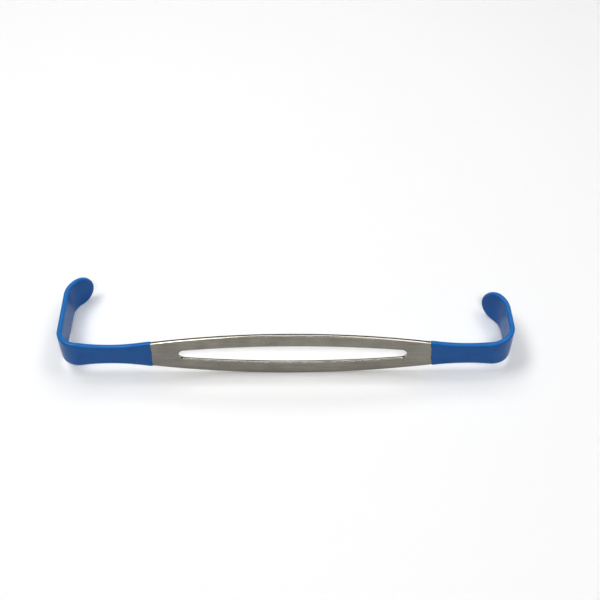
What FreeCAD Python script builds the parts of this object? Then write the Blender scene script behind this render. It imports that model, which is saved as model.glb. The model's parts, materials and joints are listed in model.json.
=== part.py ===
"""Double-ended cheek retractor: one bent steel strip with a dipped plastic coating on each end.

Strip frame, in millimetres: X runs along the handle with the large end at -X, +Y is the side the
hooks turn to, and Z is the width of the strip. Both ends are drawn at +X and the large one is then
mirrored. The finished pieces are placed in the standing pose, where the strip rests on the lower
edge of its handle and on the rims of both paddles.
"""
import FreeCAD, Part
import Sketcher
import math
import os

from FreeCAD import Placement, Rotation, Vector

DIMENSIONS = {
    # the strip and its coating
    "steel_thickness": 1.2,
    "coat_thickness": 0.3,
    # the bare handle, a lens with a lens-shaped slot
    "bare_half_length": 44.0,
    "handle_half_width": 8.95,
    "lens_radius": 260.0,
    "slot_half_width": 3.9,
    "slot_half_length": 36.2,
    "slot_tip_radius": 2.0,
    "slot_shift": 0.6,
    # large end, from the edge of the coating outwards, along the middle line of the strip
    "large_flat": 23.6,
    "large_bend_radius": 6.0,
    "large_bend_angle": 88.5,
    "large_leg": 15.8,
    "large_curl_radius": 7.5,
    "large_curl_angle": 48.5,
    "large_tip": 5.3,
    "large_waist_half": 3.6,
    "large_waist_radius": 51.0,
    "large_leg_half": 4.7,
    "large_paddle_radius": 5.3,
    # small end, the same way
    "small_flat": 19.6,
    "small_bend_radius": 7.0,
    "small_bend_angle": 90.5,
    "small_leg": 7.6,
    "small_curl_radius": 7.8,
    "small_curl_angle": 49.0,
    "small_tip": 4.3,
    "small_waist_half": 3.95,
    "small_waist_radius": 61.0,
    "small_leg_half": 5.2,
    "small_paddle_radius": 5.7,
    # where the width settles from the waist to the leg, at both ends
    "flare_radius": 30.0,
    # how far the cutting forms reach past the strip
    "form_margin": 3.0,
    # the standing pose
    "lean_angle": 7.59,
    "roll_angle": 0.25,
}

START, FINISH, CENTRE = 1, 2, 3
ORIGIN, X_AXIS, Z_AXIS = (-1, START), -1, -2


def dim(name):
    """A reference to a cell of the sheet, for use in an expression."""
    return f"Dims.{name}"


def make_sheet(doc):
    sheet = doc.addObject("Spreadsheet::Sheet", "Dims")
    for row, (name, value) in enumerate(DIMENSIONS.items(), start=1):
        sheet.set(f"A{row}", name)
        sheet.set(f"B{row}", str(value))
        sheet.setAlias(f"B{row}", name)
    doc.recompute()


class End:
    """One end of the strip, bare or grown by its coating. Sizes come as expressions and as numbers."""

    def __init__(self, name, coated):
        self.name = name
        self.coated = coated
        self.skin = DIMENSIONS["coat_thickness"] if coated else 0.0
        self.skin_size = dim("coat_thickness") if coated else "0"
        self.half = DIMENSIONS["steel_thickness"] / 2 + self.skin
        self.half_size = f"({dim('steel_thickness')} / 2 + {self.skin_size})"

    def label(self, what):
        return f"{self.name}_{'coated' if self.coated else 'bare'}_{what}"

    def value(self, what):
        return DIMENSIONS[f"{self.name}_{what}"]

    def size(self, what):
        return dim(f"{self.name}_{what}")

    def bend_angle(self):
        return f"({self.size('bend_angle')} * 1deg)"

    def paddle_angle(self):
        return f"(({self.size('bend_angle')} + {self.size('curl_angle')}) * 1deg)"

    def disc_centre(self):
        """The middle of the paddle's round end, as expressions for x and y."""
        bend, paddle = self.bend_angle(), self.paddle_angle()
        bend_radius, curl_radius = self.size("bend_radius"), self.size("curl_radius")
        leg = self.size("leg")
        run = f"({self.size('tip')} - {self.size('paddle_radius')})"
        x = (f"{dim('bare_half_length')} + {self.size('flat')} + {bend_radius} * sin({bend})"
             f" + {leg} * cos({bend}) + {curl_radius} * (sin({paddle}) - sin({bend}))"
             f" + {run} * cos({paddle})")
        y = (f"{bend_radius} * (1 - cos({bend})) + {leg} * sin({bend})"
             f" + {curl_radius} * (cos({bend}) - cos({paddle})) + {run} * sin({paddle})")
        return x, y


# ---- sketching helpers


def new_sketch(body, role, name):
    sketch = body.newObject("Sketcher::SketchObject", name)
    plane = next(item for item in body.Origin.OriginFeatures if item.Role == role)
    sketch.AttachmentSupport = (plane, [""])
    sketch.MapMode = "FlatFace"
    return sketch


def fix(sketch, kind, *where):
    sketch.addConstraint(Sketcher.Constraint(kind, *where))


def measure(sketch, name, expression, kind, *where):
    """Adds a dimension whose first value is the last of `where`, and binds it to the sheet."""
    sketch.addConstraint(Sketcher.Constraint(kind, *where))
    sketch.renameConstraint(sketch.ConstraintCount - 1, name)
    sketch.setExpression(f"Constraints.{name}", expression)


def line(sketch, first, second):
    return sketch.addGeometry(Part.LineSegment(first, second))


def arc(sketch, centre, radius, start_angle, end_angle):
    circle = Part.Circle(centre, Vector(0, 0, 1), radius)
    return sketch.addGeometry(Part.ArcOfCircle(circle, start_angle, end_angle))


def close_with_lines(sketch, points):
    """Straight lines through the points, joined end to end."""
    ids = [line(sketch, first, second) for first, second in zip(points, points[1:])]
    for first, second in zip(ids, ids[1:]):
        fix(sketch, "Coincident", first, FINISH, second, START)
    return ids


def along(heading, length):
    return Vector(math.cos(heading), math.sin(heading), 0) * length


def right_of(heading, length):
    return Vector(math.sin(heading), -math.cos(heading), 0) * length


# ---- the bent strip, seen along its width


def long_side(sketch, end, offset):
    """One long side of the profile, `offset` outside the middle line: flat, bend, leg, curl and tip."""
    quarter = math.pi / 2
    heading = 0.0
    place = Vector(DIMENSIONS["bare_half_length"], 0, 0) + right_of(heading, offset)
    after = place + along(heading, end.value("flat"))
    ids = [line(sketch, place, after)]
    for turn in ("bend", "curl"):
        radius = end.value(f"{turn}_radius") + offset
        centre = after - right_of(heading, radius)
        turned = heading + math.radians(end.value(f"{turn}_angle"))
        ids.append(arc(sketch, centre, radius, heading - quarter, turned - quarter))
        heading = turned
        place = centre + right_of(heading, radius)
        run = end.value("leg") if turn == "bend" else end.value("tip") + end.skin
        after = place + along(heading, run)
        ids.append(line(sketch, place, after))
    for first, second in zip(ids, ids[1:]):
        fix(sketch, "Tangent", first, FINISH, second, START)
    return ids


def profile_sketch(body, end):
    sketch = new_sketch(body, "XY_Plane", end.label("profile_sketch"))
    outer = long_side(sketch, end, end.half)
    inner = long_side(sketch, end, -end.half)
    flat, bend, leg, curl, tip = outer
    root = line(sketch, sketch.getPoint(flat, START), sketch.getPoint(inner[0], START))
    rim = line(sketch, sketch.getPoint(tip, FINISH), sketch.getPoint(inner[-1], FINISH))
    for cap, vertex, place in ((root, START, 0), (rim, FINISH, -1)):
        fix(sketch, "Coincident", cap, START, outer[place], vertex)
        fix(sketch, "Coincident", cap, FINISH, inner[place], vertex)
    fix(sketch, "Coincident", bend, CENTRE, inner[1], CENTRE)
    fix(sketch, "Coincident", curl, CENTRE, inner[3], CENTRE)
    fix(sketch, "Horizontal", flat)
    fix(sketch, "Vertical", root)
    fix(sketch, "Perpendicular", rim, tip)
    for place in (0, 2, 4):
        fix(sketch, "Parallel", outer[place], inner[place])
    paddle_turn = end.value("bend_angle") + end.value("curl_angle")
    measure(sketch, "root", dim("bare_half_length"),
            "DistanceX", *ORIGIN, flat, START, DIMENSIONS["bare_half_length"])
    measure(sketch, "outside", end.half_size, "DistanceY", flat, START, *ORIGIN, end.half)
    measure(sketch, "thickness", f"2 * {end.half_size}",
            "DistanceY", root, START, root, FINISH, 2 * end.half)
    measure(sketch, "flat", end.size("flat"), "DistanceX", flat, START, flat, FINISH, end.value("flat"))
    measure(sketch, "bend_radius", f"{end.size('bend_radius')} + {end.half_size}",
            "Radius", bend, end.value("bend_radius") + end.half)
    measure(sketch, "bend_angle", end.bend_angle(),
            "Angle", X_AXIS, START, leg, START, math.radians(end.value("bend_angle")))
    measure(sketch, "leg", end.size("leg"), "Distance", leg, end.value("leg"))
    measure(sketch, "curl_radius", f"{end.size('curl_radius')} + {end.half_size}",
            "Radius", curl, end.value("curl_radius") + end.half)
    measure(sketch, "paddle_angle", end.paddle_angle(),
            "Angle", X_AXIS, START, tip, START, math.radians(paddle_turn))
    measure(sketch, "tip", f"{end.size('tip')} + {end.skin_size}",
            "Distance", tip, end.value("tip") + end.skin)
    return sketch


def profile_form(doc, end):
    """The bent strip, as wide all along as the widest place of the handle."""
    body = doc.addObject("PartDesign::Body", end.label("profile"))
    pad = body.newObject("PartDesign::Pad", end.label("profile_pad"))
    pad.Profile = profile_sketch(body, end)
    pad.SideType = "Symmetric"
    pad.setExpression("Length", f"2 * {dim('handle_half_width')}")
    body.Tip = pad
    return body


# ---- the width of the strip, seen from the front


def blend_centres(end):
    """First guesses for the centres of the waist arc and the flare arc beside the lens arc."""
    lens, flare = DIMENSIONS["lens_radius"], DIMENSIONS["flare_radius"]
    waist = end.value("waist_radius")
    lens_centre = DIMENSIONS["handle_half_width"] - lens
    waist_centre = end.value("waist_half") + waist
    flare_centre = end.value("leg_half") - flare
    waist_x = math.sqrt((lens + waist) ** 2 - (waist_centre - lens_centre) ** 2)
    flare_x = waist_x + math.sqrt((waist + flare) ** 2 - (waist_centre - flare_centre) ** 2)
    return (
        Vector(0, lens_centre, 0),
        Vector(waist_x, waist_centre, 0),
        Vector(flare_x, flare_centre, 0),
    )


def heading_of(vector):
    return math.atan2(vector.y, vector.x)


def outline_sketch(body, end):
    """Upper half of the end's outline: lens, waist and flare, then level as far as the leg."""
    sketch = new_sketch(body, "XZ_Plane", end.label("outline_sketch"))
    lens_centre, waist_centre, flare_centre = blend_centres(end)
    lens_radius = DIMENSIONS["lens_radius"] + end.skin
    waist_radius = end.value("waist_radius") - end.skin
    flare_radius = DIMENSIONS["flare_radius"] + end.skin
    root_x = DIMENSIONS["bare_half_length"]
    far_x = root_x + end.value("flat") + end.value("bend_radius") + DIMENSIONS["form_margin"]
    lens_start = math.acos(root_x / lens_radius)
    lens_end = heading_of(waist_centre - lens_centre)
    flare_end = heading_of(waist_centre - flare_centre)
    lens = arc(sketch, lens_centre, lens_radius, lens_end, lens_start)
    waist = arc(sketch, waist_centre, waist_radius, lens_end - math.pi, flare_end - math.pi)
    flare = arc(sketch, flare_centre, flare_radius, math.pi / 2, flare_end)
    top_y = flare_centre.y + flare_radius
    level, far, axis, root = close_with_lines(sketch, [
        Vector(flare_centre.x, top_y, 0),
        Vector(far_x, top_y, 0),
        Vector(far_x, 0, 0),
        Vector(root_x, 0, 0),
        sketch.getPoint(lens, FINISH),
    ])
    fix(sketch, "Coincident", root, FINISH, lens, FINISH)
    fix(sketch, "Tangent", lens, START, waist, START)
    fix(sketch, "Tangent", waist, FINISH, flare, FINISH)
    fix(sketch, "Tangent", flare, START, level, START)
    fix(sketch, "Horizontal", level)
    fix(sketch, "Vertical", far)
    fix(sketch, "PointOnObject", axis, START, X_AXIS)
    fix(sketch, "PointOnObject", axis, FINISH, X_AXIS)
    fix(sketch, "Vertical", root)
    fix(sketch, "PointOnObject", lens, CENTRE, Z_AXIS)
    measure(sketch, "root", dim("bare_half_length"), "DistanceX", *ORIGIN, axis, FINISH, root_x)
    measure(sketch, "far", f"{dim('bare_half_length')} + {end.size('flat')}"
            f" + {end.size('bend_radius')} + {dim('form_margin')}",
            "DistanceX", *ORIGIN, axis, START, far_x)
    measure(sketch, "lens_height", f"{dim('lens_radius')} - {dim('handle_half_width')}",
            "DistanceY", lens, CENTRE, *ORIGIN, -lens_centre.y)
    measure(sketch, "lens_radius", f"{dim('lens_radius')} + {end.skin_size}",
            "Radius", lens, lens_radius)
    measure(sketch, "waist_height", f"{end.size('waist_half')} + {end.size('waist_radius')}",
            "DistanceY", *ORIGIN, waist, CENTRE, waist_centre.y)
    measure(sketch, "waist_radius", f"{end.size('waist_radius')} - {end.skin_size}",
            "Radius", waist, waist_radius)
    measure(sketch, "flare_height", f"{dim('flare_radius')} - {end.size('leg_half')}",
            "DistanceY", flare, CENTRE, *ORIGIN, -flare_centre.y)
    measure(sketch, "flare_radius", f"{dim('flare_radius')} + {end.skin_size}",
            "Radius", flare, flare_radius)
    return sketch


def outline_form(doc, end):
    """The end's outline, as deep as the handle and its first bend."""
    body = doc.addObject("PartDesign::Body", end.label("outline"))
    pad = body.newObject("PartDesign::Pad", end.label("outline_pad"))
    pad.Profile = outline_sketch(body, end)
    pad.SideType = "Two sides"
    pad.setExpression("Length", dim("form_margin"))
    pad.setExpression("Length2", end.size("bend_radius"))
    mirror = body.newObject("PartDesign::Mirrored", end.label("outline_mirror"))
    mirror.Originals = [pad]
    plane = next(item for item in body.Origin.OriginFeatures if item.Role == "XY_Plane")
    mirror.MirrorPlane = (plane, [""])
    body.Tip = mirror
    return body


def leg_form(doc, end):
    """The leg's outline, widening evenly from the bend to the middle of the paddle's round end."""
    body = doc.addObject("PartDesign::Body", end.label("leg"))
    sketch = new_sketch(body, "YZ_Plane", end.label("leg_sketch"))
    low = end.value("bend_radius")
    high = low + end.value("leg") + end.value("curl_radius") / 2
    narrow = end.value("leg_half") + end.skin
    wide = end.value("paddle_radius") + end.skin
    lower, top, _, bottom = close_with_lines(sketch, [
        Vector(low, -narrow, 0),
        Vector(high, -wide, 0),
        Vector(high, wide, 0),
        Vector(low, narrow, 0),
        Vector(low, -narrow, 0),
    ])
    fix(sketch, "Coincident", bottom, FINISH, lower, START)
    fix(sketch, "Symmetric", lower, START, bottom, START, X_AXIS)
    fix(sketch, "Symmetric", top, START, top, FINISH, X_AXIS)
    measure(sketch, "low", end.size("bend_radius"), "DistanceX", *ORIGIN, lower, START, low)
    measure(sketch, "high", end.disc_centre()[1], "DistanceX", *ORIGIN, top, START, high)
    measure(sketch, "narrow", f"2 * ({end.size('leg_half')} + {end.skin_size})",
            "Distance", bottom, 2 * narrow)
    measure(sketch, "wide", f"2 * ({end.size('paddle_radius')} + {end.skin_size})",
            "Distance", top, 2 * wide)
    pad = body.newObject("PartDesign::Pad", end.label("leg_pad"))
    pad.Profile = sketch
    pad.setExpression("Length", f"{dim('bare_half_length')} + {end.size('flat')}"
                      f" + {end.size('bend_radius')} + {dim('form_margin')}")
    body.Tip = pad
    return body


def paddle_form(doc, end):
    """The disc that rounds the paddle, square to the paddle's face."""
    disc = doc.addObject("Part::Cylinder", end.label("paddle"))
    disc.setExpression("Radius", f"{end.size('paddle_radius')} + {end.skin_size}")
    disc.setExpression("Height", f"2 * {dim('form_margin')}")
    x, y = end.disc_centre()
    facing = f"({end.paddle_angle()} - 90deg)"
    base = (f"create(<<vector>>; {x} - {dim('form_margin')} * cos({facing});"
            f" {y} - {dim('form_margin')} * sin({facing}); 0)")
    turn = f"create(<<rotation>>; {facing}; 90deg; 0deg)"
    disc.setExpression("Placement", f"create(<<placement>>; {base}; {turn})")
    return disc


def combine(doc, kind, name, parts):
    whole = doc.addObject(f"Part::{kind}", name)
    whole.Shapes = parts
    whole.Refine = True
    return whole


def end_form(doc, end):
    """One end of the strip, drawn at +X."""
    widths = combine(doc, "MultiFuse", end.label("widths"), [
        outline_form(doc, end),
        leg_form(doc, end),
        paddle_form(doc, end),
    ])
    return combine(doc, "MultiCommon", end.label("end"), [profile_form(doc, end), widths])


def mirrored(doc, name, source):
    """The same shape on the other side of the YZ plane."""
    mirror = doc.addObject("Part::Mirroring", name)
    mirror.Source = source
    mirror.Base = Vector(0, 0, 0)
    mirror.Normal = Vector(1, 0, 0)
    return mirror


# ---- the bare handle


def lens_body(doc):
    """The handle between the coatings, bounded above and below by the lens arcs."""
    body = doc.addObject("PartDesign::Body", "bare_handle")
    sketch = new_sketch(body, "XZ_Plane", "lens_sketch")
    radius, half_length = DIMENSIONS["lens_radius"], DIMENSIONS["bare_half_length"]
    centre = Vector(0, DIMENSIONS["handle_half_width"] - radius, 0)
    start_angle = math.acos(half_length / radius)
    top = arc(sketch, centre, radius, start_angle, math.pi - start_angle)
    bottom = arc(sketch, -centre, radius, math.pi + start_angle, -start_angle)
    left = line(sketch, sketch.getPoint(top, FINISH), sketch.getPoint(bottom, START))
    right = line(sketch, sketch.getPoint(bottom, FINISH), sketch.getPoint(top, START))
    fix(sketch, "Coincident", top, FINISH, left, START)
    fix(sketch, "Coincident", left, FINISH, bottom, START)
    fix(sketch, "Coincident", bottom, FINISH, right, START)
    fix(sketch, "Coincident", right, FINISH, top, START)
    fix(sketch, "Symmetric", left, START, left, FINISH, X_AXIS)
    fix(sketch, "Symmetric", right, START, right, FINISH, X_AXIS)
    fix(sketch, "Symmetric", top, START, top, FINISH, Z_AXIS)
    fix(sketch, "PointOnObject", bottom, CENTRE, Z_AXIS)
    measure(sketch, "length", f"2 * {dim('bare_half_length')}",
            "DistanceX", left, START, right, START, 2 * half_length)
    measure(sketch, "height", f"{dim('lens_radius')} - {dim('handle_half_width')}",
            "DistanceY", top, CENTRE, *ORIGIN, -centre.y)
    measure(sketch, "top_radius", dim("lens_radius"), "Radius", top, radius)
    measure(sketch, "bottom_radius", dim("lens_radius"), "Radius", bottom, radius)
    pad = body.newObject("PartDesign::Pad", "lens_pad")
    pad.Profile = sketch
    pad.SideType = "Symmetric"
    pad.setExpression("Length", dim("steel_thickness"))
    cut_slot(body)
    return body


def cut_slot(body):
    """The lens-shaped slot, whose long arcs run into round tips."""
    sketch = new_sketch(body, "XZ_Plane", "slot_sketch")
    tip, half_width = DIMENSIONS["slot_tip_radius"], DIMENSIONS["slot_half_width"]
    shift = DIMENSIONS["slot_shift"]
    reach = DIMENSIONS["slot_half_length"] - tip
    radius = (reach ** 2 + half_width ** 2 - tip ** 2) / (2 * (half_width - tip))
    sweep = math.asin(reach / (radius - tip))
    up = math.pi / 2
    centre = Vector(shift, half_width - radius, 0)
    top = arc(sketch, centre, radius, up - sweep, up + sweep)
    left = arc(sketch, Vector(shift - reach, 0, 0), tip, up + sweep, 3 * up - sweep)
    bottom = arc(sketch, Vector(shift, -centre.y, 0), radius, 3 * up - sweep, 3 * up + sweep)
    right = arc(sketch, Vector(shift + reach, 0, 0), tip, -up + sweep, up - sweep)
    fix(sketch, "Tangent", top, FINISH, left, START)
    fix(sketch, "Tangent", left, FINISH, bottom, START)
    fix(sketch, "Tangent", bottom, FINISH, right, START)
    fix(sketch, "Tangent", right, FINISH, top, START)
    fix(sketch, "PointOnObject", left, CENTRE, X_AXIS)
    fix(sketch, "PointOnObject", right, CENTRE, X_AXIS)
    fix(sketch, "Equal", left, right)
    fix(sketch, "Equal", top, bottom)
    measure(sketch, "tip_radius", dim("slot_tip_radius"), "Radius", left, tip)
    measure(sketch, "tip_spacing", f"2 * ({dim('slot_half_length')} - {dim('slot_tip_radius')})",
            "DistanceX", left, CENTRE, right, CENTRE, 2 * reach)
    reach_size = f"({dim('slot_half_length')} - {dim('slot_tip_radius')})"
    measure(sketch, "right_tip", f"{reach_size} + {dim('slot_shift')}",
            "DistanceX", *ORIGIN, right, CENTRE, shift + reach)
    measure(sketch, "side_radius",
            f"({reach_size}^2 + {dim('slot_half_width')}^2 - {dim('slot_tip_radius')}^2)"
            f" / (2 * ({dim('slot_half_width')} - {dim('slot_tip_radius')}))",
            "Radius", top, radius)
    pocket = body.newObject("PartDesign::Pocket", "slot_pocket")
    pocket.Profile = sketch
    pocket.SideType = "Symmetric"
    pocket.setExpression("Length", f"2 * {dim('steel_thickness')}")
    body.Tip = pocket


# ---- the finished pieces


def make_pieces(doc):
    """The steel strip, whole under its coatings, and a coating on each end that fits it skin to skin."""
    large_steel = mirrored(doc, "large_steel_end", end_form(doc, End("large", False)))
    small_steel = end_form(doc, End("small", False))
    strip = combine(doc, "MultiFuse", "steel_strip", [lens_body(doc), large_steel, small_steel])
    large_coat = mirrored(doc, "large_coated_mirror", end_form(doc, End("large", True)))
    small_coat = end_form(doc, End("small", True))
    pieces = [strip]
    for name, coat, steel in (("large_end_coating", large_coat, large_steel),
                              ("small_end_coating", small_coat, small_steel)):
        coating = doc.addObject("Part::Cut", name)
        coating.Base = coat
        coating.Tool = steel
        pieces.append(coating)
    return pieces


def stand(doc, pieces):
    """Leans the retractor on its handle and paddles, lowest point at height 0, middle over 0, 0."""
    sheet = doc.getObject("Dims")
    lean = Rotation(Vector(1, 0, 0), -sheet.get("lean_angle"))
    roll = Rotation(Vector(0, 1, 0), sheet.get("roll_angle"))
    pose = Placement(Vector(), roll * lean)
    box = FreeCAD.BoundBox()
    for piece in pieces:
        shape = piece.Shape.copy()
        shape.Placement = pose.multiply(shape.Placement)
        box.add(shape.optimalBoundingBox())
    pose.Base = Vector(-box.Center.x, -box.Center.y, -box.ZMin)
    for piece in pieces:
        piece.Placement = pose


def check(doc, pieces):
    for item in doc.Objects:
        if "Invalid" in item.State or "Error" in item.State:
            raise RuntimeError(f"{item.Label} failed: {item.State}")
    for piece in pieces:
        if piece.Shape.isNull() or not piece.Shape.isValid() or len(piece.Shape.Solids) != 1:
            raise RuntimeError(f"{piece.Label} is not one valid solid")


def main():
    doc = FreeCAD.newDocument("cheek_retractor")
    make_sheet(doc)
    pieces = make_pieces(doc)
    doc.recompute()
    check(doc, pieces)
    stand(doc, pieces)
    doc.recompute()
    check(doc, pieces)
    os.makedirs("parts", exist_ok=True)
    for piece in pieces:
        piece.Shape.exportStep(f"parts/{piece.Label}.step")
        print(f"{piece.Label}: {piece.Shape.Volume:.1f} mm3, {piece.Shape.BoundBox}")


main()
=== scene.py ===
import json
import math

import bmesh
import bpy
import numpy as np
from bpy.props import FloatProperty, FloatVectorProperty, PointerProperty
from bpy.types import Operator, Panel, PropertyGroup
from mathutils import Euler, Matrix, Vector


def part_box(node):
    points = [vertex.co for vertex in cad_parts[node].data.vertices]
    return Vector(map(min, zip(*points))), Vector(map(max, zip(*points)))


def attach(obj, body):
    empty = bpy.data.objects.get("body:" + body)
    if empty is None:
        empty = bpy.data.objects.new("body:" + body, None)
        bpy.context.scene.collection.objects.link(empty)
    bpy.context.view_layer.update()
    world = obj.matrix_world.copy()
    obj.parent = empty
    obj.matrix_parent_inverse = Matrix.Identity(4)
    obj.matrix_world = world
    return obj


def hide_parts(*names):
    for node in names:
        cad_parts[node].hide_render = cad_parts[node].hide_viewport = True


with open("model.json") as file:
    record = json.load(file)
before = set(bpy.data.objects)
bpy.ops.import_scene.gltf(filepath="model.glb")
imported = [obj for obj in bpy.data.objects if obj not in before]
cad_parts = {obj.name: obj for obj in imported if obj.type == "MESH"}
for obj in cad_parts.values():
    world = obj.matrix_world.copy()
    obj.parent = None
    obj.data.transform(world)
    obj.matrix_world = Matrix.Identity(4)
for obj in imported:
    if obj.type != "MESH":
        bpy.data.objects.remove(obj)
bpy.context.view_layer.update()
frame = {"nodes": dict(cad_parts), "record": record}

# A double-ended cheek retractor: one bent steel strip with a blue coating dipped over each end.
# Each piece is cut as a flat blank and bent over a former, as the real one is. In a blank, X runs
# along the strip from the middle of its handle to the small end, Y through its thickness to the side
# that the hooks turn to, and Z across its width.

bl_info = {
    "name": "Cheek Retractor",
    "version": (1, 0, 0),
    "blender": (4, 5, 0),
    "location": "View3D > Sidebar > Retractor",
    "description": "Builds a double-ended cheek retractor with dipped ends",
    "category": "Add Mesh",
}

MM = 0.001
QUARTER = math.pi / 2
# steps along the strip, of the steel's mesh, the coatings' mesh and the former
STEEL_STEP = 0.6 * MM
COATING_STEP = 0.55 * MM
FORMER_STEP = 0.2 * MM
# the last step before a paddle's round end is no shorter than this
LAST_STEP = 0.2 * MM
# the slope of an outline is measured this far to either side
SLOPE_STEP = 0.05 * MM
# the former runs on this far past the steel, under the end of the coating
FORMER_SPARE = 2 * MM
# vertices closer than this are one
WELD = 0.002 * MM
# boxes of a piece and its CAD node agree to this, for the coatings' inner edges lean and wander
BOX_TOLERANCE = 1.2 * MM
# a half width that something is divided by counts as at least this, as it is nothing at a paddle's tip
NARROWEST = 1 * MM
# columns of vertices along each arm of the handle
ARM_COLUMNS = 121


def linear(value):
    """An sRGB hex colour as linear red, green and blue."""
    channels = [int(value[place:place + 2], 16) / 255 for place in (0, 2, 4)]
    return [c / 12.92 if c <= 0.04045 else ((c + 0.055) / 1.055) ** 2.4 for c in channels]


def length(name, description, millimetres):
    return FloatProperty(name=name, description=description, default=millimetres * MM,
                         unit="LENGTH", precision=5)


def angle(name, description, degrees):
    return FloatProperty(name=name, description=description, default=math.radians(degrees),
                         unit="ROTATION")


def colour(name, description, value):
    return FloatVectorProperty(name=name, description=description, default=linear(value),
                               size=3, min=0.0, max=1.0, subtype="COLOR")


# ---- what a user would change


class SteelSizes(PropertyGroup):
    thickness: length("Thickness", "Thickness of the strip", 1.2)
    half_length: length("Half length", "Middle of the handle to the edge of a coating", 44.0)
    half_width: length("Half width", "Half of the handle's widest place", 8.95)
    lens_radius: length("Lens radius", "Radius of the handle's long edges", 260.0)
    slot_half_width: length("Slot half width", "Half of the slot's widest place", 3.9)
    slot_half_length: length("Slot half length", "Half of the slot's length", 36.2)
    slot_tip_radius: length("Slot tip radius", "Radius of the slot's two tips", 2.0)
    slot_shift: length("Slot shift", "How far the slot lies towards the small end", 0.6)
    flare_radius: length("Flare radius", "Radius where the waist widens into the leg", 30.0)
    edge_radius: length("Edge radius", "Rounding of the corners of every edge", 0.11)
    edge_dome: length("Edge dome", "How far the middle of every edge stands out", 0.08)
    edge_fall: length("Edge fall", "How far polishing lowers the faces at the outer edges", 0.05)
    edge_band: length("Edge band", "Width of the lowered band along the outer edges", 1.3)
    slot_fall: length("Slot fall", "How far polishing lowers the faces around the slot", 0.15)
    slot_band: length("Slot band", "Width of the lowered band around the slot", 2.2)
    light: colour("Light steel", "Steel on the crests of the brushing", "A19E95")
    dark: colour("Dark steel", "Steel in the grooves of the brushing", "7F7C75")
    edge: colour("Edge steel", "Steel on the bright rounded edges", "ACA89D")


class CoatingSizes(PropertyGroup):
    thickness: length("Thickness", "Thickness of the dipped coating", 0.3)
    lip: length("Lip", "Length over which the coating rounds down onto the steel", 0.8)
    edge_radius: length("Edge radius", "Rounding of the coating along the strip's edges", 0.55)
    crown: length("Crown", "How much lower the faces are at their sides than in the middle", 0.06)
    wave: length("Edge wave", "How far the coating's edge wanders from a straight line", 0.06)
    blue: colour("Blue", "Colour of the coating", "0D5091")
    # pale blue also serves as a painted highlight along every rounded edge, besides marking where the
    # coating is thinner
    pale: colour("Pale blue", "Colour where the coating is a little thinner", "1A72B6")


class LargeEndSizes(PropertyGroup):
    flat: length("Flat", "Coating's edge to the bend", 23.6)
    bend_radius: length("Bend radius", "Radius of the first bend", 6.0)
    bend_angle: angle("Bend angle", "Turn of the first bend", 88.5)
    leg: length("Leg", "Straight leg between bend and curl", 15.8)
    curl_radius: length("Curl radius", "Radius of the curl into the paddle", 7.5)
    curl_angle: angle("Curl angle", "Turn of the curl", 48.5)
    tip: length("Tip", "Straight paddle after the curl", 5.3)
    waist_half: length("Waist", "Half width of the waist", 3.6)
    waist_radius: length("Waist radius", "Radius of the waist's edges", 51.0)
    leg_half: length("Leg half width", "Half width of the leg at the bend", 4.7)
    paddle_radius: length("Paddle radius", "Radius of the paddle's round end", 5.3)
    edge_lean: length("Edge lean", "How far the coating's edge moves outwards at its lower side", 0.35)


class SmallEndSizes(PropertyGroup):
    flat: length("Flat", "Coating's edge to the bend", 19.6)
    bend_radius: length("Bend radius", "Radius of the first bend", 7.0)
    bend_angle: angle("Bend angle", "Turn of the first bend", 90.5)
    leg: length("Leg", "Straight leg between bend and curl", 7.6)
    curl_radius: length("Curl radius", "Radius of the curl into the paddle", 7.8)
    curl_angle: angle("Curl angle", "Turn of the curl", 49.0)
    tip: length("Tip", "Straight paddle after the curl", 4.3)
    waist_half: length("Waist", "Half width of the waist", 3.95)
    waist_radius: length("Waist radius", "Radius of the waist's edges", 61.0)
    leg_half: length("Leg half width", "Half width of the leg at the bend", 5.2)
    paddle_radius: length("Paddle radius", "Radius of the paddle's round end", 5.7)
    edge_lean: length("Edge lean", "How far the coating's edge moves outwards at its lower side", 1.1)


class StageSizes(PropertyGroup):
    floor_size: length("Floor size", "Side of the square floor", 700.0)
    floor: colour("Floor", "Colour of the floor", "F4F4F4")
    camera_place: FloatVectorProperty(
        name="Camera place", description="Where the camera stands", subtype="TRANSLATION",
        unit="LENGTH", default=(0.00392, -0.170834, 0.253519))
    camera_down: angle("Camera down", "How steeply the camera looks down", 54.125)
    camera_turn: angle("Camera turn", "How far the camera looks to the right", 0.255)
    camera_roll: angle("Camera roll", "How far the camera is turned clockwise", 0.096)
    focal_length: FloatProperty(
        name="Focal length", description="Lens, in millimetres on a 36 mm sensor", default=54.7,
        unit="CAMERA")
    contrast: FloatProperty(
        name="Contrast", description="Gamma of the view, below 1 for deeper shades", default=0.85)


class Retractor(PropertyGroup):
    steel: PointerProperty(name="Steel", description="The steel strip", type=SteelSizes)
    coating: PointerProperty(name="Coating", description="The dipped coatings", type=CoatingSizes)
    large: PointerProperty(
        name="Large end", description="The end with the long hook", type=LargeEndSizes)
    small: PointerProperty(
        name="Small end", description="The end with the short hook", type=SmallEndSizes)
    stage: PointerProperty(name="Stage", description="Floor, light and camera", type=StageSizes)


# ---- the strip's shape, as rules


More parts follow.
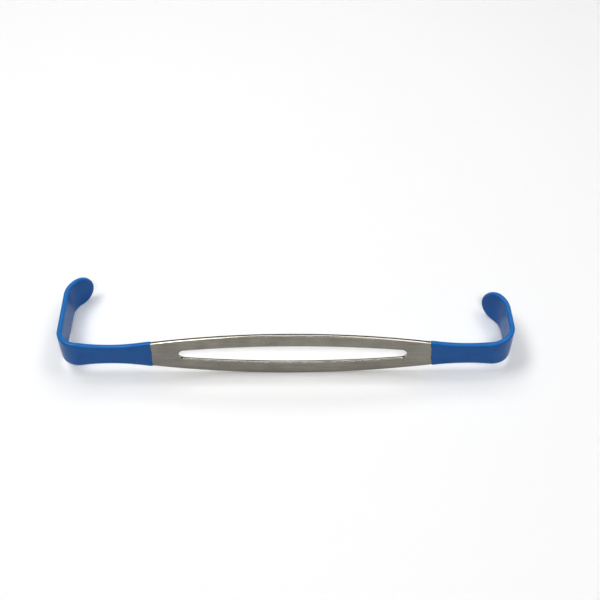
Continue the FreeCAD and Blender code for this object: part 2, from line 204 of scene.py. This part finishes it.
def centreline(end, run):
    """The middle line of one end, `run` past the coating's edge: how far out, and how far over."""
    bend_end = end.flat + end.bend_radius * end.bend_angle
    curl_start = bend_end + end.leg
    heading = end.bend_angle + end.curl_angle
    bent = np.clip((run - end.flat) / end.bend_radius, 0, end.bend_angle)
    leg = np.clip(run - bend_end, 0, end.leg)
    curled = end.bend_angle + np.clip((run - curl_start) / end.curl_radius, 0, end.curl_angle)
    tip = np.maximum(run - curl_start - end.curl_radius * end.curl_angle, 0)
    out = (np.minimum(run, end.flat) + end.bend_radius * np.sin(bent) + leg * math.cos(end.bend_angle)
           + end.curl_radius * (np.sin(curled) - math.sin(end.bend_angle)) + tip * math.cos(heading))
    over = (end.bend_radius * (1 - np.cos(bent)) + leg * math.sin(end.bend_angle)
            + end.curl_radius * (math.cos(end.bend_angle) - np.cos(curled)) + tip * math.sin(heading))
    return out, over


def end_length(end):
    """The middle line from the coating's edge to the end of the steel."""
    return (end.flat + end.bend_radius * end.bend_angle + end.leg
            + end.curl_radius * end.curl_angle + end.tip)


def half_width(steel, end, place):
    """Half the strip's width at `place` along it: lens, waist, flare, leg and round paddle."""
    lens, waist, flare = steel.lens_radius, end.waist_radius, steel.flare_radius
    lens_centre = steel.half_width - lens
    waist_centre = end.waist_half + waist
    flare_centre = end.leg_half - flare
    waist_x = math.sqrt((lens + waist) ** 2 - (waist_centre - lens_centre) ** 2)
    flare_x = waist_x + math.sqrt((waist + flare) ** 2 - (waist_centre - flare_centre) ** 2)
    lens_end = waist_x * lens / (lens + waist)
    waist_end = waist_x + (flare_x - waist_x) * waist / (waist + flare)
    run = place - steel.half_length
    out, over = centreline(end, np.maximum(run, 0))
    x = np.where(run < 0, place, steel.half_length + out)
    blank = np.select(
        [x < lens_end, x < waist_end, x < flare_x],
        [lens_centre + np.sqrt(np.maximum(lens ** 2 - x ** 2, 0)),
         waist_centre - np.sqrt(np.maximum(waist ** 2 - (x - waist_x) ** 2, 0)),
         flare_centre + np.sqrt(np.maximum(flare ** 2 - (x - flare_x) ** 2, 0))],
        end.leg_half)
    disc_run = end_length(end) - end.paddle_radius
    disc_over = centreline(end, disc_run)[1]
    share = np.clip((over - end.bend_radius) / (disc_over - end.bend_radius), 0, 1)
    leg = end.leg_half + (end.paddle_radius - end.leg_half) * share
    disc = np.sqrt(np.maximum(end.paddle_radius ** 2 - (run - disc_run) ** 2, 0))
    width = np.where(over < end.bend_radius, blank, leg)
    return np.where(run > disc_run, disc, np.maximum(width, disc))


def outline(steel, end, along):
    """Points and outward normals of one long side of an end, and on round its paddle."""
    disc = steel.half_length + end_length(end) - end.paddle_radius
    along = np.append(along[along < disc - LAST_STEP], disc)
    wider = half_width(steel, end, along + SLOPE_STEP)
    narrower = half_width(steel, end, along - SLOPE_STEP)
    slope = (wider - narrower) / (2 * SLOPE_STEP)
    slope[-1] = 0
    normals = np.stack([-slope, np.ones_like(slope)], axis=1) / np.hypot(slope, 1)[:, None]
    side = np.stack([along, half_width(steel, end, along)], axis=1)
    turn = np.linspace(0, QUARTER, 15)[1:]
    round_normals = np.stack([np.sin(turn), np.cos(turn)], axis=1)
    paddle = np.array([disc, 0]) + round_normals * end.paddle_radius
    return np.concatenate([side, paddle]), np.concatenate([normals, round_normals])


# ---- blanks


def new_blank():
    """An empty blank whose vertices say how far they lie on a rounded edge, from 0 to 1."""
    bm = bmesh.new()
    bm.verts.layers.float.new("edge")
    return bm


def add_patch(bm, points, edge=0):
    """A sheet of faces through a grid of points, and its mirror images in the blank's middle planes."""
    layer = bm.verts.layers.float["edge"]
    edge = np.broadcast_to(edge, points.shape[:2])
    for flip in ((1, 1, 1), (1, -1, 1), (1, 1, -1), (1, -1, -1)):
        rows = [[bm.verts.new(point) for point in row] for row in points * np.array(flip)]
        for row, shares in zip(rows, edge):
            for vertex, share in zip(row, shares):
                vertex[layer] = share
        for near, far in zip(rows, rows[1:]):
            for k in range(len(near) - 1):
                bm.faces.new((near[k], near[k + 1], far[k + 1], far[k]))


def face_grid(inner, outer, shares):
    """X and Z of a grid between two lines of points."""
    place = inner[:, None] + (outer - inner)[:, None] * shares[:, None]
    return place[..., 0], place[..., 1]


# turns of a rounded edge's corner, and heights from there to the middle of the thickness
CORNER = np.linspace(0, QUARTER, 7)
ACROSS_EDGE = np.array([0.75, 0.5, 0.25, 0])
# the value of the "edge" layer on each of those lines
EDGE_SHARES = np.append(np.linspace(0, 1, len(CORNER)), np.ones(len(ACROSS_EDGE)))


def edge_grid(points, normals, face_height, radius, dome):
    """A domed edge with round corners, from the rim of the face to the middle of the thickness."""
    radius, face_height = np.broadcast_arrays(radius, face_height)
    corner = face_height[:, None] - radius[:, None] * (1 - np.cos(CORNER))
    height = np.hstack([corner, corner[:, -1:] * ACROSS_EDGE])
    inset = np.pad(radius[:, None] * (1 - np.sin(CORNER)), ((0, 0), (0, len(ACROSS_EDGE))))
    inset += dome * (height / face_height[:, None]) ** 2
    place = points[:, None] - normals[:, None] * inset[..., None]
    return np.stack([place[..., 0], height, place[..., 1]], axis=-1)


def closed_mesh(bm, name):
    """Welds the patches of a blank into one closed skin with its faces outwards."""
    bmesh.ops.remove_doubles(bm, verts=bm.verts, dist=WELD)
    bmesh.ops.recalc_face_normals(bm, faces=bm.faces)
    if not all(edge.is_manifold for edge in bm.edges):
        raise RuntimeError(f"{name} is not a closed skin")
    mesh = bpy.data.meshes.new(name)
    bm.to_mesh(mesh)
    bm.free()
    mesh.shade_smooth()
    return mesh


class SteelBlank:
    """The flat strip with its slot. One quarter of it is drawn, and the patches mirror themselves."""

    ACROSS_ARM = np.array([0, 0.035, 0.08, 0.14, 0.22, 0.32, 0.45, 0.6, 0.74, 0.85, 0.93, 0.975, 1])
    ACROSS_END = np.array([0, 0.15, 0.3, 0.45, 0.6, 0.72, 0.82, 0.9, 0.95, 0.985, 1])
    # the end's own mesh starts this far past the tip of the slot
    PAST_SLOT = 3.0 * MM
    # rounds of the search for the point that a ray meets
    ROUNDS = 40

    def __init__(self, retractor):
        steel = self.steel = retractor.steel
        self.ends = {1: retractor.small, -1: retractor.large}
        self.reach = steel.slot_half_length - steel.slot_tip_radius
        rise = 2 * (steel.slot_half_width - steel.slot_tip_radius)
        self.arc = (self.reach ** 2 + steel.slot_half_width ** 2 - steel.slot_tip_radius ** 2) / rise
        self.arc_turn = math.asin(self.reach / (self.arc - steel.slot_tip_radius))

    def height(self, x, z):
        """Half the thickness, less where polishing has rounded the faces off."""
        steel = self.steel
        width = np.where(x > 0, half_width(steel, self.ends[1], x), half_width(steel, self.ends[-1], -x))
        along = np.abs(x - steel.slot_shift)
        to_arc = np.hypot(along, np.abs(z) + self.arc - steel.slot_half_width) - self.arc
        to_tip = np.hypot(along - self.reach, z) - steel.slot_tip_radius
        outer = np.clip(1 - (width - np.abs(z)) / steel.edge_band, 0, 1)
        inner = np.clip(1 - np.where(along < self.reach, to_arc, to_tip) / steel.slot_band, 0, 1)
        return steel.thickness / 2 - steel.edge_fall * outer ** 2 - steel.slot_fall * inner ** 2

    def long_edge(self, x):
        """Points and outward normals on the handle's long edge."""
        lens = self.steel.lens_radius
        centre = np.array([0, self.steel.half_width - lens])
        normals = np.stack([x, np.sqrt(lens ** 2 - x ** 2)], axis=1) / lens
        return centre + normals * lens, normals

    def slot_arc(self, turn):
        """Points on the slot's long side, and normals into the slot."""
        spokes = np.stack([np.sin(turn), np.cos(turn)], axis=1)
        centre = np.array([self.steel.slot_shift, self.steel.slot_half_width - self.arc])
        return centre + spokes * self.arc, -spokes

    def slot_tip(self, side, turn):
        """Points on a slot tip, `turn` from the strip's length, and normals into the slot."""
        spokes = np.stack([side * np.cos(turn), np.sin(turn)], axis=1)
        return np.array([self.tip_middle(side), 0]) + spokes * self.steel.slot_tip_radius, -spokes

    def tip_middle(self, side):
        return self.steel.slot_shift + side * self.reach

    def edge_facing(self, side, turn):
        """Where rays from the middle of a slot tip meet the handle's long edge."""
        x = np.full_like(turn, self.tip_middle(side))
        for _ in range(self.ROUNDS):
            x = self.tip_middle(side) + side * self.long_edge(x)[0][:, 1] / np.tan(turn)
        return x

    def rim(self, points, normals):
        return points - normals * (self.steel.edge_radius + self.steel.edge_dome)

    def add_face(self, bm, inner, outer, shares):
        x, z = face_grid(inner, outer, shares)
        add_patch(bm, np.stack([x, self.height(x, z), z], axis=-1))

    def add_edge(self, bm, points, normals):
        heights = self.height(*self.rim(points, normals).T)
        steel = self.steel
        grid = edge_grid(points, normals, heights, steel.edge_radius, steel.edge_dome)
        add_patch(bm, grid, EDGE_SHARES)

    def add_arm(self, bm, slot, edge):
        """The face between the slot and the long edge, with both rounded edges."""
        self.add_face(bm, self.rim(*slot), self.rim(*edge), self.ACROSS_ARM)
        self.add_edge(bm, *slot)
        self.add_edge(bm, *edge)

    def add_end(self, bm, side):
        """From the round tip of the slot outwards. Returns where on the long edge it starts."""
        steel = self.steel
        cut = abs(self.tip_middle(side)) + steel.slot_tip_radius + self.PAST_SLOT
        corner = self.long_edge(np.array([side * cut]))[0][0]
        last = math.atan2(corner[1], abs(corner[0] - self.tip_middle(side)))
        turn = np.linspace(QUARTER - self.arc_turn, last, 7)
        facing = self.edge_facing(side, turn)
        self.add_arm(bm, self.slot_tip(side, turn), self.long_edge(facing))
        end = self.ends[side]
        far = steel.half_length + end_length(end)
        points, normals = outline(steel, end, np.arange(cut, far, STEEL_STEP))
        points, normals = points * [side, 1], normals * [side, 1]
        rim = self.rim(points, normals)
        axis = rim * [1, 0]
        self.add_face(bm, axis, rim, self.ACROSS_END)
        self.add_edge(bm, points, normals)
        joint = axis[0] + (rim[0] - axis[0]) * self.ACROSS_END[:, None]
        spokes = np.arctan2(joint[:, 1], abs(joint[:, 0] - self.tip_middle(side)))
        spokes[-1] = last
        slot = self.slot_tip(side, spokes)
        self.add_face(bm, self.rim(*slot), joint, self.ACROSS_ARM)
        self.add_edge(bm, *slot)
        return facing[0]

    def build(self, name):
        bm = new_blank()
        first, last = self.add_end(bm, -1), self.add_end(bm, 1)
        turn = np.linspace(-self.arc_turn, self.arc_turn, ARM_COLUMNS)
        facing = self.long_edge(np.linspace(first, last, ARM_COLUMNS))
        self.add_arm(bm, self.slot_arc(turn), facing)
        return closed_mesh(bm, name)


class CoatingBlank:
    """The flat coating of one end: an outer skin that rounds down onto the steel, and an inner skin."""

    ACROSS = np.array([0, 0.1, 0.2, 0.3, 0.4, 0.5, 0.6, 0.69, 0.77, 0.84, 0.9, 0.95, 1])
    # the inner edge's lean and waves die out over this length
    SETTLE = 8.0 * MM
    # radians of the inner edge's slow and quick waves over half the width, and the quick one's share
    SLOW_WAVE, QUICK_WAVE, QUICK_SHARE = 5.1, 11.3, 0.6

    def __init__(self, retractor, side):
        self.steel, self.coating = retractor.steel, retractor.coating
        self.side = side
        self.end = retractor.small if side > 0 else retractor.large
        self.strip = SteelBlank(retractor)

    def build(self, name):
        steel, end, lip = self.steel, self.end, self.coating.lip
        start = steel.half_length
        rounded = start + lip * (1 - np.cos(np.linspace(0, QUARTER, 9)))
        body = np.arange(start + 1.5 * lip, start + end_length(end), COATING_STEP)
        points, normals = outline(steel, end, np.concatenate([rounded, body]))
        share = np.sqrt(1 - np.clip(1 - (points[:, 0] - start) / lip, 0, 1) ** 2)
        bm = new_blank()
        for cover in (share, np.zeros_like(share)):
            self.add_skin(bm, points, normals, cover)
        mesh = closed_mesh(bm, name)
        self.wander(mesh)
        return mesh

    def add_skin(self, bm, points, normals, cover):
        """A skin that stands off the steel by the coating's thickness times `cover`."""
        steel, coating = self.steel, self.coating
        outer = points + normals * (coating.thickness * cover)[:, None]
        radius = steel.edge_radius + (coating.edge_radius - steel.edge_radius) * cover
        dome = steel.edge_dome
        rim = outer - normals * (radius + dome)[:, None]
        x, z = face_grid(rim * [1, 0], rim, self.ACROSS)
        under = self.strip.height(self.side * x, z)
        width = np.maximum(outer[:, 1], NARROWEST)[:, None]
        over = steel.thickness / 2 + coating.thickness - coating.crown * (z / width) ** 2
        height = under + (over - under) * cover[:, None]
        flip = np.array([self.side, 1, 1])
        add_patch(bm, np.stack([x, height, z], axis=-1) * flip)
        add_patch(bm, edge_grid(outer, normals, height[:, -1], radius, dome) * flip, EDGE_SHARES)

    def wander(self, mesh):
        """Leans the coating's inner edge and makes it a little wavy, keeping it on the steel."""
        place = np.zeros(len(mesh.vertices) * 3)
        mesh.vertices.foreach_get("co", place)
        place = place.reshape(-1, 3)
        along = np.abs(place[:, 0])
        width = np.maximum(half_width(self.steel, self.end, along), NARROWEST)
        across = place[:, 2] / width
        settle = np.clip(1 - (along - self.steel.half_length) / self.SETTLE, 0, 1) ** 2
        front = np.sign(place[:, 1])
        slow = np.sin(self.SLOW_WAVE * across + front + self.side)
        quick = np.sin(self.QUICK_WAVE * across - 2 * front)
        wave = self.coating.wave * (slow + self.QUICK_SHARE * quick)
        lean = self.end.edge_lean * np.clip(0.5 - across / 2, 0, 1)
        moved = along + (wave + lean) * settle
        place[:, 0] = moved * self.side
        place[:, 2] *= np.maximum(half_width(self.steel, self.end, moved), NARROWEST) / width
        mesh.vertices.foreach_set("co", place.ravel())


# ---- bending


def node(tree, kind, settings=None, inputs=None):
    """Adds a node with its settings, input values and links."""
    made = tree.nodes.new(kind)
    for key, value in (settings or {}).items():
        setattr(made, key, value)
    for key, value in (inputs or {}).items():
        if isinstance(value, bpy.types.NodeSocket):
            tree.links.new(value, made.inputs[key])
        else:
            made.inputs[key].default_value = value
    return made


def bending_tree():
    """Bends a flat blank along a former: its X follows the former, its Y stands off it."""
    tree = bpy.data.node_groups.new("Bend Over Former", "GeometryNodeTree")
    sockets = tree.interface
    for name, kind in (("Blank", "NodeSocketGeometry"), ("Former", "NodeSocketObject"),
                       ("Middle", "NodeSocketFloat"), ("Finish", "NodeSocketMaterial")):
        sockets.new_socket(name, in_out="INPUT", socket_type=kind)
    sockets.new_socket("Bent", in_out="OUTPUT", socket_type="NodeSocketGeometry")
    given = node(tree, "NodeGroupInput")
    place = node(tree, "ShaderNodeSeparateXYZ",
                 inputs={0: node(tree, "GeometryNodeInputPosition").outputs[0]})
    former = node(tree, "GeometryNodeObjectInfo", inputs={"Object": given.outputs["Former"]})
    run = node(tree, "ShaderNodeMath", {"operation": "ADD"},
               {0: place.outputs["X"], 1: given.outputs["Middle"]})
    sample = node(tree, "GeometryNodeSampleCurve", {"mode": "LENGTH"},
                  {"Curves": former.outputs["Geometry"], "Length": run.outputs[0]})
    aside = node(tree, "ShaderNodeVectorMath", {"operation": "CROSS_PRODUCT"},
                 {0: (0, 0, 1), 1: sample.outputs["Tangent"]})
    unit = node(tree, "ShaderNodeVectorMath", {"operation": "NORMALIZE"}, {0: aside.outputs[0]})
    off = node(tree, "ShaderNodeVectorMath", {"operation": "SCALE"},
               {0: unit.outputs[0], "Scale": place.outputs["Y"]})
    across = node(tree, "ShaderNodeCombineXYZ", inputs={"Z": place.outputs["Z"]})
    on_former = node(tree, "ShaderNodeVectorMath", {"operation": "ADD"},
                     {0: sample.outputs["Position"], 1: off.outputs[0]})
    bent = node(tree, "ShaderNodeVectorMath", {"operation": "ADD"},
                {0: on_former.outputs[0], 1: across.outputs[0]})
    moved = node(tree, "GeometryNodeSetPosition",
                 inputs={"Geometry": given.outputs["Blank"], "Position": bent.outputs[0]})
    real = node(tree, "GeometryNodeRealizeInstances", inputs={0: moved.outputs[0]})
    finished = node(tree, "GeometryNodeSetMaterial",
                    inputs={"Geometry": real.outputs[0], "Material": given.outputs["Finish"]})
    node(tree, "NodeGroupOutput", inputs={"Bent": finished.outputs[0]})
    return tree


def make_former(retractor):
    """The middle line of the bent strip as a curve, and its length up to the handle's middle."""
    sides = []
    for end, side in ((retractor.large, -1), (retractor.small, 1)):
        run = np.append(np.arange(0, end_length(end), FORMER_STEP), end_length(end) + FORMER_SPARE)
        out, over = centreline(end, run)
        sides.append(np.stack([side * (retractor.steel.half_length + out), over], axis=1))
    line = np.concatenate([sides[0][::-1], sides[1]])
    curve = bpy.data.curves.new("former", "CURVE")
    curve.dimensions = "3D"
    spline = curve.splines.new("POLY")
    spline.points.add(len(line) - 1)
    for point, (x, y) in zip(spline.points, line):
        point.co = (x, y, 0, 1)
    steps = np.linalg.norm(np.diff(sides[0], axis=0), axis=1)
    former = bpy.data.objects.new("former", curve)
    bpy.context.scene.collection.objects.link(former)
    return former, float(steps.sum()) + retractor.steel.half_length


def bend(mesh, retractor, finish):
    """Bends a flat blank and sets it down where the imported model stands."""
    former, middle = make_former(retractor)
    piece = bpy.data.objects.new(mesh.name, mesh)
    bpy.context.scene.collection.objects.link(piece)
    tree = bpy.data.node_groups.get("Bend Over Former") or bending_tree()
    modifier = piece.modifiers.new("Bend Over Former", "NODES")
    modifier.node_group = tree
    keys = {item.name: item.identifier for item in tree.interface.items_tree if item.in_out == "INPUT"}
    modifier[keys["Former"]] = former
    modifier[keys["Middle"]] = middle
    modifier[keys["Finish"]] = finish
    piece.data = bpy.data.meshes.new_from_object(
        piece.evaluated_get(bpy.context.evaluated_depsgraph_get()))
    piece.modifiers.clear()
    piece.data.name = mesh.name
    bpy.data.objects.remove(former)
    bpy.data.meshes.remove(mesh)
    piece.data.transform(standing_place(retractor))
    return piece


def node_places(name):
    return np.array([vertex.co for vertex in frame["nodes"][name].data.vertices])


def standing_place(retractor):
    """Where the strip stands: its axes from the record's mounts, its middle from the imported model."""
    mounts = {mount["name"]: mount for mount in frame["record"]["mounts"]}
    large, small = mounts["large_end_back"], mounts["small_end_back"]
    along = (Vector(small["pos_m"]) - Vector(large["pos_m"])).normalized()
    up = along.cross(-Vector(large["axis"])).normalized()
    axes = Matrix((along, up.cross(along), up))
    strip = node_places("steel_strip") @ np.array(axes).T
    large_coat = node_places("large_end_coating") @ np.array(along)
    small_coat = node_places("small_end_coating") @ np.array(along)
    middle = Vector((
        (large_coat.max() + small_coat.min()) / 2,
        strip[:, 1].min() + retractor.steel.thickness / 2,
        (strip[:, 2].min() + strip[:, 2].max()) / 2,
    ))
    return axes.transposed().to_4x4() @ Matrix.Translation(middle)


def stand_for(piece, cad_node):
    """Takes the place of a CAD node, if their boxes agree."""
    places = np.array([vertex.co for vertex in piece.data.vertices])
    corners = np.array(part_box(cad_node))
    if np.abs(np.array([places.min(0), places.max(0)]) - corners).max() > BOX_TOLERANCE:
        raise RuntimeError(f"{piece.name} does not fit the CAD node {cad_node}")
    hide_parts(cad_node)
    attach(piece, "root")


# ---- finishes


def new_finish(name):
    """A material with its shader, its tree and the piece's own coordinates."""
    finish = bpy.data.materials.new(name)
    finish.use_nodes = True
    tree = finish.node_tree
    place = node(tree, "ShaderNodeTexCoord").outputs["Object"]
    return finish, tree, tree.nodes["Principled BSDF"], place


def brushed_stainless(steel):
    """Stainless steel, ground and brushed lengthwise: fine streaks, soft warm grey reflections."""
    finish, tree, shader, place = new_finish("brushed_stainless_steel")
    shader.inputs["Metallic"].default_value = 1.0
    # streaks 15 mm long and 0.25 mm wide, coarser than a 180-grit belt leaves, so that they show
    streak_place = node(tree, "ShaderNodeMapping", {"vector_type": "POINT"},
                        {"Vector": place, "Scale": (1 / (15 * MM), 1 / (0.25 * MM), 1 / (0.25 * MM))})
    streaks = node(tree, "ShaderNodeTexNoise", inputs={"Vector": streak_place.outputs[0], "Scale": 1.0,
                                                       "Detail": 3.0, "Roughness": 0.6})
    # handling marks about 7 mm across
    marks = node(tree, "ShaderNodeTexNoise",
                 inputs={"Vector": place, "Scale": 1 / (7 * MM), "Detail": 5.0, "Roughness": 0.6})
    streaked = node(tree, "ShaderNodeMath", {"operation": "MULTIPLY_ADD"},
                    {0: streaks.outputs[0], 1: 1.6, 2: -0.9})
    toned = node(tree, "ShaderNodeMath", {"operation": "MULTIPLY_ADD", "use_clamp": True},
                 {0: marks.outputs[0], 1: 1.2, 2: streaked.outputs[0]})
    mixed = node(tree, "ShaderNodeMix", {"data_type": "RGBA"},
                 {0: toned.outputs[0], 6: (*steel.dark, 1), 7: (*steel.light, 1)})
    # the rounded edges are tumbled bright, the faces are left brushed
    edge = node(tree, "ShaderNodeAttribute", {"attribute_name": "edge"}).outputs["Fac"]
    worn = node(tree, "ShaderNodeMix", {"data_type": "RGBA"},
                {0: edge, 6: mixed.outputs[2], 7: (*steel.edge, 1)})
    tree.links.new(worn.outputs[2], shader.inputs["Base Color"])
    brushed = node(tree, "ShaderNodeMapRange",
                   inputs={"Value": toned.outputs[0], "To Min": 0.44, "To Max": 0.32})
    rough = node(tree, "ShaderNodeMapRange",
                 inputs={"Value": edge, "To Min": brushed.outputs[0], "To Max": 0.13})
    tree.links.new(rough.outputs[0], shader.inputs["Roughness"])
    depth = node(tree, "ShaderNodeMapRange", inputs={"Value": edge, "To Min": 0.35, "To Max": 0.0})
    bump = node(tree, "ShaderNodeBump", inputs={"Strength": depth.outputs[0], "Distance": 0.01 * MM,
                                                "Height": streaks.outputs[0]})
    tree.links.new(bump.outputs[0], shader.inputs["Normal"])
    return finish


def dipped_vinyl(coating):
    """Plastisol vinyl, dipped and cured: an even, semi-gloss skin with faint waves where it flowed."""
    finish, tree, shader, place = new_finish("dipped_blue_vinyl")
    shader.inputs["IOR"].default_value = 1.53
    shader.inputs["Specular IOR Level"].default_value = 0.25
    # the dip's flow, about 4 mm from wave to wave, and a finer orange peel of 0.7 mm
    flow = node(tree, "ShaderNodeTexNoise",
                inputs={"Vector": place, "Scale": 1 / (4 * MM), "Detail": 2.0})
    peel = node(tree, "ShaderNodeTexNoise",
                inputs={"Vector": place, "Scale": 1 / (0.7 * MM), "Detail": 1.0})
    # the skin is paler round the edges: partly because it is thinnest where it is drawn round an edge,
    # partly a painted highlight standing in for the light that the rounded edges catch
    edge = node(tree, "ShaderNodeAttribute", {"attribute_name": "edge"}).outputs["Fac"]
    faint = node(tree, "ShaderNodeMath", {"operation": "MULTIPLY"}, {0: flow.outputs[0], 1: 0.5})
    thinning_and_painted_sheen = node(tree, "ShaderNodeMath", {"operation": "MULTIPLY_ADD", "use_clamp": True},
                {0: edge, 1: 0.75, 2: faint.outputs[0]})
    mixed = node(tree, "ShaderNodeMix", {"data_type": "RGBA"},
                 {0: thinning_and_painted_sheen.outputs[0], 6: (*coating.blue, 1), 7: (*coating.pale, 1)})
    tree.links.new(mixed.outputs[2], shader.inputs["Base Color"])
    rough = node(tree, "ShaderNodeMapRange",
                 inputs={"Value": peel.outputs[0], "To Min": 0.2, "To Max": 0.28})
    tree.links.new(rough.outputs[0], shader.inputs["Roughness"])
    waves = node(tree, "ShaderNodeBump", inputs={"Strength": 0.5, "Distance": 0.05 * MM,
                                                 "Height": flow.outputs[0]})
    skin = node(tree, "ShaderNodeBump", inputs={"Strength": 0.3, "Distance": 0.008 * MM,
                                                "Height": peel.outputs[0], "Normal": waves.outputs[0]})
    tree.links.new(skin.outputs[0], shader.inputs["Normal"])
    return finish


def pale_paper(stage):
    """Matt white paper, as a studio sweep is covered with: an even pale ground without gloss."""
    finish, tree, shader, place = new_finish("matt_white_paper")
    # fibres of the paper, 2 mm
    fibre = node(tree, "ShaderNodeTexNoise", inputs={"Vector": place, "Scale": 1 / (2 * MM)})
    mixed = node(tree, "ShaderNodeMix", {"data_type": "RGBA"},
                 {0: fibre.outputs[0], 6: (*stage.floor, 1), 7: (*[c * 0.995 for c in stage.floor], 1)})
    tree.links.new(mixed.outputs[2], shader.inputs["Base Color"])
    shader.inputs["Roughness"].default_value = 1.0
    shader.inputs["Specular IOR Level"].default_value = 0.0
    return finish


# ---- operators


class RETRACTOR_OT_strip(Operator):
    """Cut the steel strip with its slot and bend both ends"""
    bl_idname = "retractor.strip"
    bl_label = "Steel Strip"

    def execute(self, context):
        retractor = context.scene.retractor
        blank = SteelBlank(retractor).build("bent_steel_strip")
        strip = bend(blank, retractor, brushed_stainless(retractor.steel))
        stand_for(strip, "steel_strip")
        return {"FINISHED"}


class RETRACTOR_OT_coatings(Operator):
    """Dip both ends of the strip in blue vinyl"""
    bl_idname = "retractor.coatings"
    bl_label = "Dipped Coatings"

    def execute(self, context):
        retractor = context.scene.retractor
        finish = dipped_vinyl(retractor.coating)
        for side, size in ((-1, "large"), (1, "small")):
            blank = CoatingBlank(retractor, side).build(f"{size}_end_dip")
            stand_for(bend(blank, retractor, finish), f"{size}_end_coating")
        return {"FINISHED"}


class RETRACTOR_OT_stage(Operator):
    """Lay the floor, and set up the studio light and the camera"""
    bl_idname = "retractor.stage"
    bl_label = "Stage"

    SOFTBOXES = (
        # name, place and size in metres, and watts; each faces the origin
        ("left_softbox", (-0.28, 0.12, 0.60), (0.36, 0.22), 2.0),
        ("right_softbox", (0.30, 0.12, 0.60), (0.36, 0.22), 1.0),
        ("front_softbox", (0.03, -0.36, 0.60), (0.3, 0.10), 1.9),
        ("back_card", (0, 0.50, 0.62), (0.8, 0.2), 1.35),
    )

    def execute(self, context):
        stage = context.scene.retractor.stage
        self.add_floor(stage)
        self.add_lights()
        self.add_world()
        self.add_camera(context, stage)
        return {"FINISHED"}

    def add_floor(self, stage):
        half = stage.floor_size / 2
        mesh = bpy.data.meshes.new("floor")
        mesh.from_pydata([(-half, -half, 0), (half, -half, 0), (half, half, 0), (-half, half, 0)],
                         [], [(0, 1, 2, 3)])
        mesh.materials.append(pale_paper(stage))
        floor = bpy.data.objects.new("floor", mesh)
        bpy.context.scene.collection.objects.link(floor)

    def add_lights(self):
        for name, place, size, watts in self.SOFTBOXES:
            light = bpy.data.lights.new(name, "AREA")
            light.shape = "RECTANGLE"
            light.size, light.size_y = size
            light.energy = watts
            box = bpy.data.objects.new(name, light)
            box.location = place
            box.rotation_euler = Vector(place).to_track_quat("Z", "Y").to_euler()
            bpy.context.scene.collection.objects.link(box)

    def add_world(self):
        """A pale sweep up to 6 degrees above the horizon, which has faded to near dark at 14."""
        world = bpy.data.worlds.new("studio")
        world.use_nodes = True
        tree = world.node_tree
        height = node(tree, "ShaderNodeSeparateXYZ",
                      inputs={0: node(tree, "ShaderNodeTexCoord").outputs["Generated"]})
        sweep = node(tree, "ShaderNodeMapRange", {"interpolation_type": "SMOOTHSTEP"},
                     {"Value": height.outputs["Z"], "From Min": 0.1, "From Max": 0.25,
                      "To Min": 0.95, "To Max": 0.07})
        tree.links.new(sweep.outputs[0], tree.nodes["Background"].inputs["Strength"])
        tree.nodes["Background"].inputs["Color"].default_value = (1, 1, 1, 1)
        bpy.context.scene.world = world

    def add_camera(self, context, stage):
        lens = bpy.data.cameras.new("camera")
        lens.sensor_width = 36
        lens.lens = stage.focal_length
        lens.clip_start = 10 * MM
        camera = bpy.data.objects.new("camera", lens)
        camera.location = stage.camera_place
        look = Euler((QUARTER - stage.camera_down, 0, -stage.camera_turn)).to_matrix()
        camera.rotation_euler = (look @ Matrix.Rotation(-stage.camera_roll, 3, "Z")).to_euler()
        context.scene.collection.objects.link(camera)
        context.scene.camera = camera
        context.scene.view_settings.view_transform = "Standard"
        context.scene.view_settings.gamma = stage.contrast


class RETRACTOR_PT_sizes(Panel):
    """Sizes, colours and steps of the retractor"""
    bl_idname = "RETRACTOR_PT_sizes"
    bl_label = "Cheek Retractor"
    bl_space_type = "VIEW_3D"
    bl_region_type = "UI"
    bl_category = "Retractor"

    def draw(self, context):
        retractor = context.scene.retractor
        for part in ("steel", "coating", "large", "small", "stage"):
            box = self.layout.box()
            box.label(text=part.capitalize())
            group = getattr(retractor, part)
            for name in group.__annotations__:
                box.prop(group, name)
        for step in STEPS:
            self.layout.operator(step.bl_idname)


STEPS = (RETRACTOR_OT_strip, RETRACTOR_OT_coatings, RETRACTOR_OT_stage)
CLASSES = (SteelSizes, CoatingSizes, LargeEndSizes, SmallEndSizes, StageSizes, Retractor,
           *STEPS, RETRACTOR_PT_sizes)


def register():
    for item in CLASSES:
        bpy.utils.register_class(item)
    bpy.types.Scene.retractor = PointerProperty(type=Retractor)


def unregister():
    del bpy.types.Scene.retractor
    for item in reversed(CLASSES):
        bpy.utils.unregister_class(item)


def main():
    register()
    bpy.ops.retractor.strip()
    bpy.ops.retractor.coatings()
    bpy.ops.retractor.stage()


if __name__ == "__main__":
    main()
